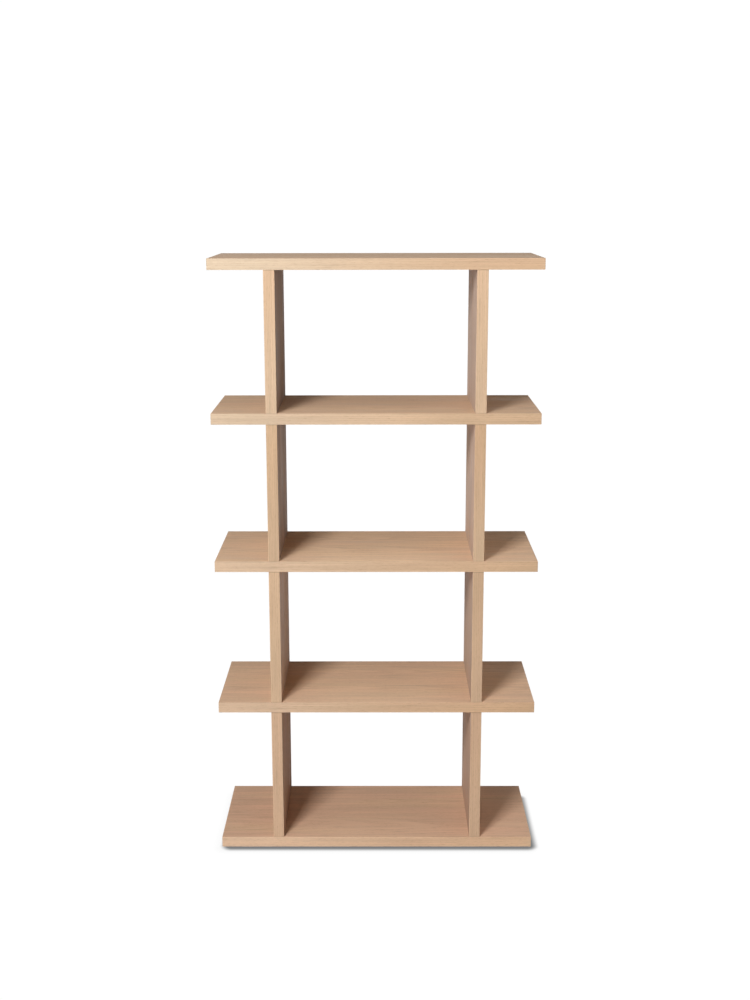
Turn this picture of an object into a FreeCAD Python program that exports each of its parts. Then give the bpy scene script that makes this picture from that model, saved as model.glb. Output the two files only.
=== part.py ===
import FreeCAD, Part
import os
import Sketcher
from FreeCAD import Placement, Rotation, Vector

# Driving dimensions, in millimetres. X runs along the shelves, Y from front to back, Z up from the floor.
SIZES = {
    # Boards
    "shelf_width": 800,
    "shelf_depth": 313,
    "shelf_thickness": 27,
    "upright_thickness": 27,
    "bay_height": 342.5,
    "overhang": 133.3,
    "arris_radius": 0.8,
    # Clearances: pressed or located pieces, the loose bolts, and the blind end of a drilled hole
    "fit_clearance": 0.1,
    "bolt_clearance": 0.4,
    "drill_allowance": 1,
    # Cam bolts, measured from the front or back edge of a board and from the end of an upright
    "bolt_setback": 60,
    "bolt_shank_diameter": 7,
    "bolt_neck_diameter": 4.6,
    "bolt_head_diameter": 7,
    "bolt_head_length": 4,
    "bolt_head_bevel": 0.8,
    "thread_diameter": 5.8,
    "thread_length": 11,
    "thread_tip_length": 2,
    # Cam locks, turned from the outer face of an upright
    "cam_distance": 34,
    "cam_diameter": 15,
    "cam_past_bolt": 5.5,
    "cam_recess": 0.4,
    "driver_slot_length": 9,
    "driver_slot_width": 1.8,
    "driver_slot_depth": 2.2,
    # Cover caps over the cam locks
    "cap_lip": 1.6,
    "cap_thickness": 1.4,
    "cap_bevel": 0.6,
    "cap_stud_diameter": 4,
    "cap_stud_length": 3.4,
    # Dowels that locate the ends of the uprights
    "dowel_pitch": 32,
    "dowel_diameter": 8,
    "dowel_in_upright": 22,
    "dowel_web": 6,
    "dowel_bevel": 1,
    # Floor glides and their nails
    "glide_inset": 42,
    "glide_diameter": 24,
    "glide_height": 5,
    "glide_bevel": 1.5,
    "nail_head_diameter": 7,
    "nail_head_thickness": 1.2,
    "nail_diameter": 2.4,
    "nail_tip_length": 3,
    "nail_cover": 12,
}

SHELF_LABELS = ["base_shelf", "second_shelf", "third_shelf", "fourth_shelf", "top_shelf"]
BAY_COUNT = len(SHELF_LABELS) - 1

# Places and depths that several pieces share, as expressions on the sheet
UPRIGHT_X = "(sizes.shelf_width / 2 - sizes.overhang - sizes.upright_thickness / 2)"
BOLT_Y = "(sizes.shelf_depth / 2 - sizes.bolt_setback)"
DOWEL_Y = "(sizes.shelf_depth / 2 - sizes.bolt_setback - sizes.dowel_pitch)"
GLIDE_X = "(sizes.shelf_width / 2 - sizes.glide_inset)"
GLIDE_Y = "(sizes.shelf_depth / 2 - sizes.glide_inset)"
LEVEL_PITCH = "(sizes.shelf_thickness + sizes.bay_height)"
UPPER_CAM_Z = "(sizes.bay_height - sizes.cam_distance)"
CAM_BORE_DIAMETER = "(sizes.cam_diameter + 2 * sizes.fit_clearance)"
CAM_BORE_DEPTH = "(sizes.upright_thickness / 2 + sizes.cam_past_bolt)"
BOLT_HOLE_DIAMETER = "(sizes.bolt_shank_diameter + 2 * sizes.bolt_clearance)"
HEAD_SPACE = "(sizes.bolt_head_diameter + 2 * sizes.bolt_clearance)"
NECK_SPACE = "(sizes.bolt_neck_diameter + 2 * sizes.bolt_clearance)"
NECK_START = "(sizes.cam_distance - sizes.cam_diameter / 2)"
HEAD_START = "(sizes.cam_distance - sizes.bolt_head_length / 2)"
HEAD_END = "(sizes.cam_distance + sizes.bolt_head_length / 2)"
DOWEL_IN_SHELF = "((sizes.shelf_thickness - sizes.dowel_web) / 2)"
DOWEL_HOLE_DIAMETER = "(sizes.dowel_diameter + 2 * sizes.fit_clearance)"
NAIL_GRIP = "(sizes.shelf_thickness - sizes.nail_cover)"

# Signs that put four or six equal features on the board
FOUR_CORNERS = [(-1, -1), (-1, 1), (1, -1), (1, 1)]
FRONT_AND_BACK = [-1, 1]
SIX_FEET = [(side_x, side_y) for side_x in (-1, 0, 1) for side_y in FRONT_AND_BACK]

# Sketch references: the two axes, the points of a line or circle, and the origin, where the axes start
HORIZONTAL_AXIS, VERTICAL_AXIS = range(-1, -3, -1)
START_POINT, END_POINT, CENTRE_POINT = range(1, 4)
ROOT_POINT = START_POINT

# Where sketch geometry starts before its constraints move it
FIRST_GUESS = 10.0

HALF_TURN = 180
FULL_TURN = 360
EXTENT_SYMMETRIC = "Symmetric"
SMALLEST_CUT = 0.01

doc = FreeCAD.newDocument("bookcase")
sheet = doc.addObject("Spreadsheet::Sheet", "sizes")
sub_parts = []


def fill_sheet():
    """Write every driving dimension as a named cell."""
    for row, (alias, value) in enumerate(SIZES.items(), start=1):
        sheet.set(f"A{row}", alias)
        sheet.set(f"B{row}", str(value))
        sheet.setAlias(f"B{row}", alias)
    doc.recompute()


def add_body(label):
    """Add an empty body with its own label."""
    body = doc.addObject("PartDesign::Body", label)
    body.Label = label
    return body


def add_sketch(body, name, plane, shift_u=None, shift_v=None, lift=None):
    """Add a sketch on one of the body's origin planes, shifted in that plane or lifted off it."""
    sketch = body.newObject("Sketcher::SketchObject", name)
    support = next(item for item in body.Origin.OriginFeatures if item.Role == plane)
    sketch.AttachmentSupport = [(support, "")]
    sketch.MapMode = "FlatFace"
    for axis, expression in (("x", shift_u), ("y", shift_v), ("z", lift)):
        if expression:
            sketch.setExpression(f"AttachmentOffset.Base.{axis}", expression)
    return sketch


def dimension(sketch, constraint, expression):
    """Add a constraint whose value follows the sheet."""
    index = sketch.addConstraint(constraint)
    sketch.setExpression(f"Constraints[{index}]", expression)


def fix_point(sketch, geometry, point, across, along):
    """Hold a sketch point at (sign, expression) distances across and along from the origin."""
    for kind, zero_axis, (sign, expression) in (
        ("DistanceX", VERTICAL_AXIS, across),
        ("DistanceY", HORIZONTAL_AXIS, along),
    ):
        origin = (HORIZONTAL_AXIS, ROOT_POINT)
        target = (geometry, point)
        if sign == 0:
            sketch.addConstraint(Sketcher.Constraint("PointOnObject", geometry, point, zero_axis))
            continue
        ends = (*origin, *target) if sign > 0 else (*target, *origin)
        dimension(sketch, Sketcher.Constraint(kind, *ends, FIRST_GUESS), expression)


def rectangle(body, name, plane, width, height, **shifts):
    """Sketch a rectangle centred on its own origin."""
    sketch = add_sketch(body, name, plane, **shifts)
    corners = [Vector(u * FIRST_GUESS, v * FIRST_GUESS, 0) for u, v in ((-1, -1), (1, -1), (1, 1), (-1, 1))]
    sides = [sketch.addGeometry(Part.LineSegment(corners[n], corners[(n + 1) % 4])) for n in range(4)]
    for n in range(4):
        following = sides[(n + 1) % 4]
        sketch.addConstraint(Sketcher.Constraint("Coincident", sides[n], END_POINT, following, START_POINT))
        sketch.addConstraint(Sketcher.Constraint("Vertical" if n % 2 else "Horizontal", sides[n]))
    opposite = (sides[0], START_POINT, sides[2], START_POINT)
    sketch.addConstraint(Sketcher.Constraint("Symmetric", *opposite, HORIZONTAL_AXIS, ROOT_POINT))
    bottom = (sides[0], START_POINT, sides[0], END_POINT)
    right = (sides[1], START_POINT, sides[1], END_POINT)
    dimension(sketch, Sketcher.Constraint("DistanceX", *bottom, 2 * FIRST_GUESS), width)
    dimension(sketch, Sketcher.Constraint("DistanceY", *right, 2 * FIRST_GUESS), height)
    return sketch


def circles(body, name, plane, centres, diameter, **shifts):
    """Sketch equal circles, each centre given as two (sign, expression) distances."""
    sketch = add_sketch(body, name, plane, **shifts)
    for across, along in centres:
        guess = Vector(across[0] * FIRST_GUESS, along[0] * FIRST_GUESS, 0)
        ring = sketch.addGeometry(Part.Circle(guess, Vector(0, 0, 1), FIRST_GUESS / 4))
        fix_point(sketch, ring, CENTRE_POINT, across, along)
        dimension(sketch, Sketcher.Constraint("Diameter", ring, FIRST_GUESS / 2), diameter)
    return sketch


def profile(body, name, points):
    """Sketch a closed outline on the XZ plane through points given as two (sign, expression) distances."""
    sketch = add_sketch(body, name, "XZ_Plane")
    count = len(points)
    guesses = [
        Vector(across[0] * FIRST_GUESS * (n + 1), along[0] * FIRST_GUESS * (n + 1), 0)
        for n, (across, along) in enumerate(points)
    ]
    sides = [
        sketch.addGeometry(Part.LineSegment(guesses[n], guesses[(n + 1) % count])) for n in range(count)
    ]
    for n, (across, along) in enumerate(points):
        following = sides[(n + 1) % count]
        sketch.addConstraint(Sketcher.Constraint("Coincident", sides[n], END_POINT, following, START_POINT))
        fix_point(sketch, sides[n], START_POINT, across, along)
    return sketch


def pad(body, sketch, length):
    """Raise a sketch along its normal."""
    feature = body.newObject("PartDesign::Pad", f"{sketch.Name}_pad")
    feature.Profile = sketch
    feature.setExpression("Length", length)
    doc.recompute()
    return feature


def pocket(body, sketch, depth, along_normal=False, symmetric=False):
    """Cut a sketch into the body, against its normal unless told otherwise."""
    feature = body.newObject("PartDesign::Pocket", f"{sketch.Name}_cut")
    feature.Profile = sketch
    feature.setExpression("Length", depth)
    feature.Reversed = along_normal
    if symmetric:
        feature.SideType = EXTENT_SYMMETRIC
    doc.recompute()
    return feature


def revolve(body, sketch, axis):
    """Turn a profile once round one of its own axes."""
    feature = body.newObject("PartDesign::Revolution", f"{sketch.Name}_turn")
    feature.Profile = sketch
    feature.ReferenceAxis = (sketch, [axis])
    feature.Angle = FULL_TURN
    doc.recompute()
    return feature


def round_edges(body, base, edges, radius):
    """Ease the named edges of a feature with a small radius."""
    feature = body.newObject("PartDesign::Fillet", f"{body.Name}_eased")
    feature.Base = (base, edges)
    feature.setExpression("Radius", radius)
    doc.recompute()
    return feature


def bevel_edges(body, base, edges, size):
    """Bevel the named edges of a feature."""
    feature = body.newObject("PartDesign::Chamfer", f"{body.Name}_bevelled")
    feature.Base = (base, edges)
    feature.setExpression("Size", size)
    doc.recompute()
    return feature


def edge_names(feature, wanted):
    """Names of a feature's edges that pass a test."""
    return [f"Edge{n}" for n, edge in enumerate(feature.Shape.Edges, start=1) if wanted(edge)]


def is_upright_edge(edge):
    """True for a straight edge that runs along Z."""
    return abs(edge.tangentAt(edge.FirstParameter).z) > 1 - 1e-6


def is_round_edge(edge):
    """True for a circular edge."""
    return isinstance(edge.Curve, Part.Circle)


def place(item, x=None, y=None, z=None, turn=None):
    """Bind an object's position to the sheet, after an optional turn."""
    if turn:
        item.Placement = Placement(Vector(), turn)
    for axis, expression in (("x", x), ("y", y), ("z", z)):
        if expression:
            item.setExpression(f"Placement.Base.{axis}", expression)


def signed(sign, expression):
    """Expression for a distance on the side that the sign gives."""
    return f"{sign} * {expression}"


def copies(source, places):
    """Links to one piece, each at its own (x, y, z) expressions and turn."""
    links = []
    for n, (x, y, z, turn) in enumerate(places, start=1):
        link = doc.addObject("App::Link", f"{source.Name}_{n}")
        link.LinkedObject = source
        place(link, x, y, z, turn)
        links.append(link)
    return links


def group(label, links):
    """A node of several equal loose solids."""
    node = doc.addObject("Part::Compound", label)
    node.Label = label
    node.Links = links
    return node


def keep(node):
    """Note a node as one of the sub-parts that are written out."""
    sub_parts.append(node)
    return node


def level_z(level):
    """Expression for the underside of a shelf, counted from the base."""
    return f"sizes.glide_height + {level} * {LEVEL_PITCH}"


def shelf_points(distance_y):
    """Four places on a shelf, over the uprights, at a distance either side of its middle line."""
    return [((sx, UPRIGHT_X), (sy, distance_y)) for sx, sy in FOUR_CORNERS]


def shelf_board(label, level):
    """One shelf board: eased all round, drilled for the dowels and bolts of the uprights that it meets."""
    body = add_body(label)
    outline = rectangle(body, f"{label}_outline", "XY_Plane", "sizes.shelf_width", "sizes.shelf_depth")
    board = pad(body, outline, "sizes.shelf_thickness")
    round_edges(body, board, edge_names(board, lambda edge: True), "sizes.arris_radius")
    has_upright_above = level < BAY_COUNT
    has_upright_below = level > 0
    if has_upright_above:
        drill_shelf(body, "top", "sizes.shelf_thickness", False, has_upright_below)
    if has_upright_below:
        drill_shelf(body, "under", None, True, has_upright_above)
    if has_upright_above and has_upright_below:
        holes = circles(body, f"{label}_bolt_holes", "XY_Plane", shelf_points(BOLT_Y), BOLT_HOLE_DIAMETER)
        pocket(body, holes, "sizes.shelf_thickness", along_normal=True)
    if level == 0:
        feet = [((sx, GLIDE_X), (sy, GLIDE_Y)) for sx, sy in SIX_FEET]
        nail_hole = "sizes.nail_diameter + 2 * sizes.fit_clearance"
        holes = circles(body, f"{label}_nail_holes", "XY_Plane", feet, nail_hole)
        pocket(body, holes, f"{NAIL_GRIP} + sizes.drill_allowance", along_normal=True)
    place(body, z=level_z(level))
    return keep(body)


def drill_shelf(body, side, lift, along_normal, goes_through):
    """Blind holes in one face of a shelf: dowel holes, and screw holes unless the bolts go right through."""
    name = f"{body.Name}_{side}"
    dowels = shelf_points(DOWEL_Y)
    holes = circles(body, f"{name}_dowel_holes", "XY_Plane", dowels, DOWEL_HOLE_DIAMETER, lift=lift)
    pocket(body, holes, f"{DOWEL_IN_SHELF} + sizes.fit_clearance", along_normal)
    if goes_through:
        return
    screws = shelf_points(BOLT_Y)
    screw_hole = "sizes.thread_diameter + 2 * sizes.fit_clearance"
    holes = circles(body, f"{name}_screw_holes", "XY_Plane", screws, screw_hole, lift=lift)
    pocket(body, holes, "sizes.thread_length + sizes.drill_allowance", along_normal)


def place_in_bay(node, side, bay):
    """Stand a node in its bay. Its outer face is on +X, so on the left it is turned half round."""
    turn = Rotation(Vector(0, 0, 1), HALF_TURN) if side < 0 else None
    place(node, x=signed(side, UPRIGHT_X), z=f"{level_z(bay)} + sizes.shelf_thickness", turn=turn)


def upright_panel(label, side, bay):
    """One upright panel: eased along its height, drilled at both ends and bored for the cam locks."""
    body = add_body(label)
    outline = rectangle(body, f"{label}_outline", "XY_Plane", "sizes.upright_thickness", "sizes.shelf_depth")
    board = pad(body, outline, "sizes.bay_height")
    round_edges(body, board, edge_names(board, is_upright_edge), "sizes.arris_radius")
    dowel_depth = "sizes.dowel_in_upright + sizes.drill_allowance"
    for end, lift, along_normal in (("foot", None, True), ("head", "sizes.bay_height", False)):
        for name, distance, diameter, depth in (
            ("dowel", DOWEL_Y, DOWEL_HOLE_DIAMETER, dowel_depth),
            ("bolt", BOLT_Y, BOLT_HOLE_DIAMETER, "sizes.cam_distance"),
        ):
            centres = [((0, None), (sy, distance)) for sy in FRONT_AND_BACK]
            holes = circles(body, f"{label}_{end}_{name}_holes", "XY_Plane", centres, diameter, lift=lift)
            pocket(body, holes, depth, along_normal)
    heights = ("sizes.cam_distance", UPPER_CAM_Z)
    centres = [((sy, BOLT_Y), (1, height)) for sy in FRONT_AND_BACK for height in heights]
    bores = circles(
        body, f"{label}_cam_bores", "YZ_Plane", centres, CAM_BORE_DIAMETER, lift="sizes.upright_thickness / 2"
    )
    pocket(body, bores, CAM_BORE_DEPTH)
    place_in_bay(body, side, bay)
    return keep(body)


def cam_lock():
    """Cam lock on the X axis, round the head of a bolt that comes from below: a round body with a neck slot
    over its lower half, a round seat for the head, an entry at one side and a cross slot in its face."""
    body = add_body("cam_lock")
    middle = [((0, None), (0, None))]
    face = "sizes.upright_thickness / 2 - sizes.cam_recess"
    back = "sizes.cam_past_bolt - sizes.fit_clearance"
    barrel = circles(body, "cam_barrel", "YZ_Plane", middle, "sizes.cam_diameter", lift=f"-({back})")
    pad(body, barrel, f"{face} + {back}")
    across = "2 * sizes.cam_diameter"
    half = "sizes.cam_diameter / 2"
    slot = rectangle(
        body, "cam_neck_slot", "YZ_Plane", across, "sizes.cam_diameter", shift_v=f"-({half})"
    )
    pocket(body, slot, NECK_SPACE, symmetric=True)
    seat_diameter = (
        "sqrt(sizes.bolt_head_diameter ^ 2 + sizes.bolt_head_length ^ 2) + 2 * sizes.bolt_clearance"
    )
    seat = circles(body, "cam_head_seat", "YZ_Plane", middle, seat_diameter)
    pocket(body, seat, HEAD_SPACE, symmetric=True)
    entry = rectangle(body, "cam_entry", "YZ_Plane", "sizes.cam_diameter", HEAD_SPACE, shift_u=half)
    pocket(body, entry, HEAD_SPACE, symmetric=True)
    slot_sizes = ["sizes.driver_slot_length", "sizes.driver_slot_width"]
    for name, (width, height) in (("cam_cross_a", slot_sizes), ("cam_cross_b", slot_sizes[::-1])):
        pocket(body, rectangle(body, name, "YZ_Plane", width, height, lift=face), "sizes.driver_slot_depth")
    socket_diameter = "sizes.cap_stud_diameter + 2 * sizes.fit_clearance"
    socket = circles(body, "cam_socket", "YZ_Plane", middle, socket_diameter, lift=face)
    pocket(body, socket, "sizes.cap_stud_length - sizes.cam_recess + sizes.fit_clearance")
    return body


def cover_cap():
    """Cover cap on the X axis, from the outer face of an upright outwards, with a stud that plugs the cam."""
    body = add_body("cover_cap")
    radius = f"({CAM_BORE_DIAMETER} / 2 + sizes.cap_lip)"
    stud = "sizes.cap_stud_diameter / 2"
    points = [
        ((-1, "sizes.cap_stud_length"), (0, None)),
        ((1, "sizes.cap_thickness"), (0, None)),
        ((1, "sizes.cap_thickness"), (1, f"{radius} - sizes.cap_bevel")),
        ((1, "sizes.cap_thickness - sizes.cap_bevel"), (1, radius)),
        ((0, None), (1, radius)),
        ((0, None), (1, stud)),
        ((-1, "sizes.cap_stud_length"), (1, stud)),
    ]
    revolve(body, profile(body, "cap_profile", points), "H_Axis")
    return body


def dowel():
    """Dowel on the Z axis, up into an upright and down into a shelf from the face between them."""
    body = add_body("dowel")
    middle = [((0, None), (0, None))]
    section = circles(
        body, "dowel_section", "XY_Plane", middle, "sizes.dowel_diameter", lift=f"-{DOWEL_IN_SHELF}"
    )
    rod = pad(body, section, f"sizes.dowel_in_upright + {DOWEL_IN_SHELF}")
    bevel_edges(body, rod, edge_names(rod, is_round_edge), "sizes.dowel_bevel")
    return body


def bolt_tip(sign, start=None):
    """Profile points of one cam end of a bolt, from its shank to the end of its head, from a start height."""
    base = f"{start} + " if start else ""
    shank = "sizes.bolt_shank_diameter / 2"
    neck = "sizes.bolt_neck_diameter / 2"
    head = "sizes.bolt_head_diameter / 2"
    return [
        ((1, shank), (sign, f"{base}{NECK_START}")),
        ((1, neck), (sign, f"{base}{NECK_START}")),
        ((1, neck), (sign, f"{base}{HEAD_START}")),
        ((1, head), (sign, f"{base}{HEAD_START}")),
        ((1, head), (sign, f"{base}{HEAD_END} - sizes.bolt_head_bevel")),
        ((1, f"{head} - sizes.bolt_head_bevel"), (sign, f"{base}{HEAD_END}")),
        ((0, None), (sign, f"{base}{HEAD_END}")),
    ]


def screw_bolt():
    """Single-ended bolt on the Z axis: a screw down into a board and a cam head up into an upright."""
    body = add_body("screw_bolt")
    thread = "sizes.thread_diameter / 2"
    points = [
        ((0, None), (-1, "sizes.thread_length")),
        ((1, thread), (-1, "sizes.thread_length - sizes.thread_tip_length")),
        ((1, thread), (0, None)),
        ((1, "sizes.bolt_shank_diameter / 2"), (0, None)),
        *bolt_tip(1),
    ]
    revolve(body, profile(body, "screw_bolt_profile", points), "V_Axis")
    return body


def double_bolt():
    """Double-ended bolt on the Z axis, through the middle of a shelf, with a cam head at both ends."""
    body = add_body("double_bolt")
    half = "sizes.shelf_thickness / 2"
    points = [*bolt_tip(-1, half)[::-1], *bolt_tip(1, half)]
    revolve(body, profile(body, "double_bolt_profile", points), "V_Axis")
    return body


def floor_glide():
    """Floor glide on the Z axis, from the floor up to the base, with a socket for the head of its nail."""
    body = add_body("floor_glide")
    radius = "sizes.glide_diameter / 2"
    socket = "sizes.nail_head_diameter / 2 + sizes.fit_clearance"
    seat = "sizes.glide_height - sizes.nail_head_thickness - sizes.fit_clearance"
    points = [
        ((0, None), (0, None)),
        ((1, f"{radius} - sizes.glide_bevel"), (0, None)),
        ((1, radius), (1, "sizes.glide_bevel")),
        ((1, radius), (1, "sizes.glide_height")),
        ((1, socket), (1, "sizes.glide_height")),
        ((1, socket), (1, seat)),
        ((0, None), (1, seat)),
    ]
    revolve(body, profile(body, "glide_profile", points), "V_Axis")
    return body


def glide_nail():
    """Nail on the Z axis, with its head in the glide and its shank up in the base."""
    body = add_body("glide_nail")
    head = "sizes.nail_head_diameter / 2"
    shank = "sizes.nail_diameter / 2"
    head_foot = "sizes.glide_height - sizes.nail_head_thickness"
    tip = f"sizes.glide_height + {NAIL_GRIP}"
    points = [
        ((0, None), (1, head_foot)),
        ((1, head), (1, head_foot)),
        ((1, head), (1, "sizes.glide_height")),
        ((1, shank), (1, "sizes.glide_height")),
        ((1, shank), (1, f"{tip} - sizes.nail_tip_length")),
        ((0, None), (1, tip)),
    ]
    revolve(body, profile(body, "nail_profile", points), "V_Axis")
    return body


def both_ends(distance_y, x=None, foot=None, head=None, turn=None):
    """Places of four equal fittings in an upright: front and back, at its foot and at its head."""
    return [
        (x, signed(sy, distance_y), height, end_turn)
        for height, end_turn in ((foot, None), (head, turn))
        for sy in FRONT_AND_BACK
    ]


def over_uprights():
    """Places of four equal bolts on a shelf."""
    return [(signed(sx, UPRIGHT_X), signed(sy, BOLT_Y), None, None) for sx, sy in FOUR_CORNERS]


def build_boards():
    """The five shelves and the eight uprights."""
    for level, label in enumerate(SHELF_LABELS):
        shelf_board(label, level)
    for side, name in ((-1, "left"), (1, "right")):
        for bay in range(BAY_COUNT):
            upright_panel(f"{name}_upright_{bay + 1}", side, bay)


def build_upright_fittings():
    """The cam locks, cover caps and dowels of every upright, one node of each kind for each upright."""
    upside_down = Rotation(Vector(1, 0, 0), HALF_TURN)
    cam_places = both_ends(BOLT_Y, None, "sizes.cam_distance", UPPER_CAM_Z, upside_down)
    cap_places = both_ends(BOLT_Y, "sizes.upright_thickness / 2", "sizes.cam_distance", UPPER_CAM_Z)
    dowel_places = both_ends(DOWEL_Y, None, None, "sizes.bay_height", upside_down)
    fittings = {
        "cams": copies(cam_lock(), cam_places),
        "caps": copies(cover_cap(), cap_places),
        "dowels": copies(dowel(), dowel_places),
    }
    for kind, links in fittings.items():
        for side, name in ((-1, "left"), (1, "right")):
            for bay in range(BAY_COUNT):
                node = group(f"{name}_upright_{bay + 1}_{kind}", links)
                place_in_bay(node, side, bay)
                keep(node)


def build_bolts():
    """The bolts of every shelf: screwed up from the base, down from the top, and through those between."""
    single = copies(screw_bolt(), over_uprights())
    double = copies(double_bolt(), over_uprights())
    for level, label in enumerate(SHELF_LABELS):
        is_end = level in (0, BAY_COUNT)
        node = group(label.replace("_shelf", "_shelf_bolts"), single if is_end else double)
        if level == 0:
            place(node, z=f"{level_z(level)} + sizes.shelf_thickness")
        elif level == BAY_COUNT:
            place(node, z=level_z(level), turn=Rotation(Vector(1, 0, 0), HALF_TURN))
        else:
            place(node, z=f"{level_z(level)} + sizes.shelf_thickness / 2")
        keep(node)


def build_feet():
    """The floor glides and their nails."""
    places = [(signed(sx, GLIDE_X), signed(sy, GLIDE_Y), None, None) for sx, sy in SIX_FEET]
    keep(group("floor_glides", copies(floor_glide(), places)))
    keep(group("glide_nails", copies(glide_nail(), places)))


def check_model():
    """Stop before anything is written if a feature failed, a cut removed nothing or a shape is bad."""
    for item in doc.Objects:
        if {"Invalid", "Error"} & set(item.State):
            raise RuntimeError(f"{item.Label} did not recompute: {item.State}")
        if item.isDerivedFrom("PartDesign::Pocket"):
            removed = item.BaseFeature.Shape.Volume - item.Shape.Volume
            if removed < SMALLEST_CUT:
                raise RuntimeError(f"{item.Label} cuts nothing")
    for node in sub_parts:
        if node.Shape.isNull() or not node.Shape.isValid():
            raise RuntimeError(f"{node.Label} has no valid shape")


def write_parts():
    """Write every sub-part to a file of its own name."""
    os.makedirs("parts", exist_ok=True)
    for node in sub_parts:
        node.Shape.exportStep(f"parts/{node.Label}.step")


fill_sheet()
build_boards()
build_upright_fittings()
build_bolts()
build_feet()
doc.recompute()
check_model()
write_parts()
print(f"{len(sub_parts)} sub-parts written")
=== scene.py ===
"""Straight open bookcase in pale oak veneer: finishes, floor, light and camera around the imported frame.

Lengths are in metres. X runs along the shelves, Y from front to back and Z up from the floor.
"""

import logging
import math
from dataclasses import dataclass
from enum import Enum
from typing import Any, Union

import bpy
import numpy as np
from mathutils import Matrix, Vector


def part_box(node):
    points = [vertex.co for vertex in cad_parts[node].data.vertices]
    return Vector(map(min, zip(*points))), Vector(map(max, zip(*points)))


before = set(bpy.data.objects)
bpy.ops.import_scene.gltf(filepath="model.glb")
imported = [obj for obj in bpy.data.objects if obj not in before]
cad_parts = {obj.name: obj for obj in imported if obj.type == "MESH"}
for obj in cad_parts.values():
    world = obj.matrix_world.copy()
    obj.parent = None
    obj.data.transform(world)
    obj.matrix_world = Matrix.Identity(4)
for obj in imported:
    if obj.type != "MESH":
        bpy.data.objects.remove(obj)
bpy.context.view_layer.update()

LOG = logging.getLogger("bookcase")

Colour = tuple[float, float, float, float]
Limits = tuple[float, float]
Point = tuple[float, float, float]
Scales = tuple[float, float, float]
Operand = Union["Wire", float]

WHITE: Colour = (1.0, 1.0, 1.0, 1.0)


def srgb(red: int, green: int, blue: int) -> Colour:
    """Scene-linear colour of a screen colour.

    Args:
        red, green, blue: Screen levels from 0 to 255.

    Returns:
        The linear colour, with full alpha.
    """
    levels = np.array([red, green, blue]) / 255
    linear = np.where(levels <= 0.04045, levels / 12.92, ((levels + 0.055) / 1.055) ** 2.4)
    return (*linear.tolist(), 1.0)


class Wire:
    """A shader socket on which sums can be written: each operator adds one Math node."""

    def __init__(self, graph: "Graph", socket: bpy.types.NodeSocket) -> None:
        """Hold a socket and the graph that it is in."""
        self.graph = graph
        self.socket = socket

    def also(self, output: str) -> "Wire":
        """Another output of the same node."""
        return Wire(self.graph, self.socket.node.outputs[output])

    def about_zero(self) -> "Wire":
        """This less one half, so that noise from zero to one is about zero."""
        return self - 0.5

    def __add__(self, other: Operand) -> "Wire":
        """This plus another value."""
        return self.graph.maths("ADD", self, other)

    def __radd__(self, other: Operand) -> "Wire":
        """Another value plus this."""
        return self.graph.maths("ADD", other, self)

    def __sub__(self, other: Operand) -> "Wire":
        """This less another value."""
        return self.graph.maths("SUBTRACT", self, other)

    def __rsub__(self, other: Operand) -> "Wire":
        """Another value less this."""
        return self.graph.maths("SUBTRACT", other, self)

    def __mul__(self, other: Operand) -> "Wire":
        """This times another value."""
        return self.graph.maths("MULTIPLY", self, other)

    def __rmul__(self, other: Operand) -> "Wire":
        """Another value times this."""
        return self.graph.maths("MULTIPLY", other, self)

    def __truediv__(self, other: Operand) -> "Wire":
        """This over another value."""
        return self.graph.maths("DIVIDE", self, other)

    def __rtruediv__(self, other: Operand) -> "Wire":
        """Another value over this."""
        return self.graph.maths("DIVIDE", other, self)

    def __gt__(self, other: Operand) -> "Wire":
        """One where this is greater than another value, and otherwise zero."""
        return self.graph.maths("GREATER_THAN", self, other)

    def __lt__(self, other: Operand) -> "Wire":
        """One where this is less than another value, and otherwise zero."""
        return self.graph.maths("LESS_THAN", self, other)

    def __abs__(self) -> "Wire":
        """This without its sign."""
        return self.graph.maths("ABSOLUTE", self)


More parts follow.
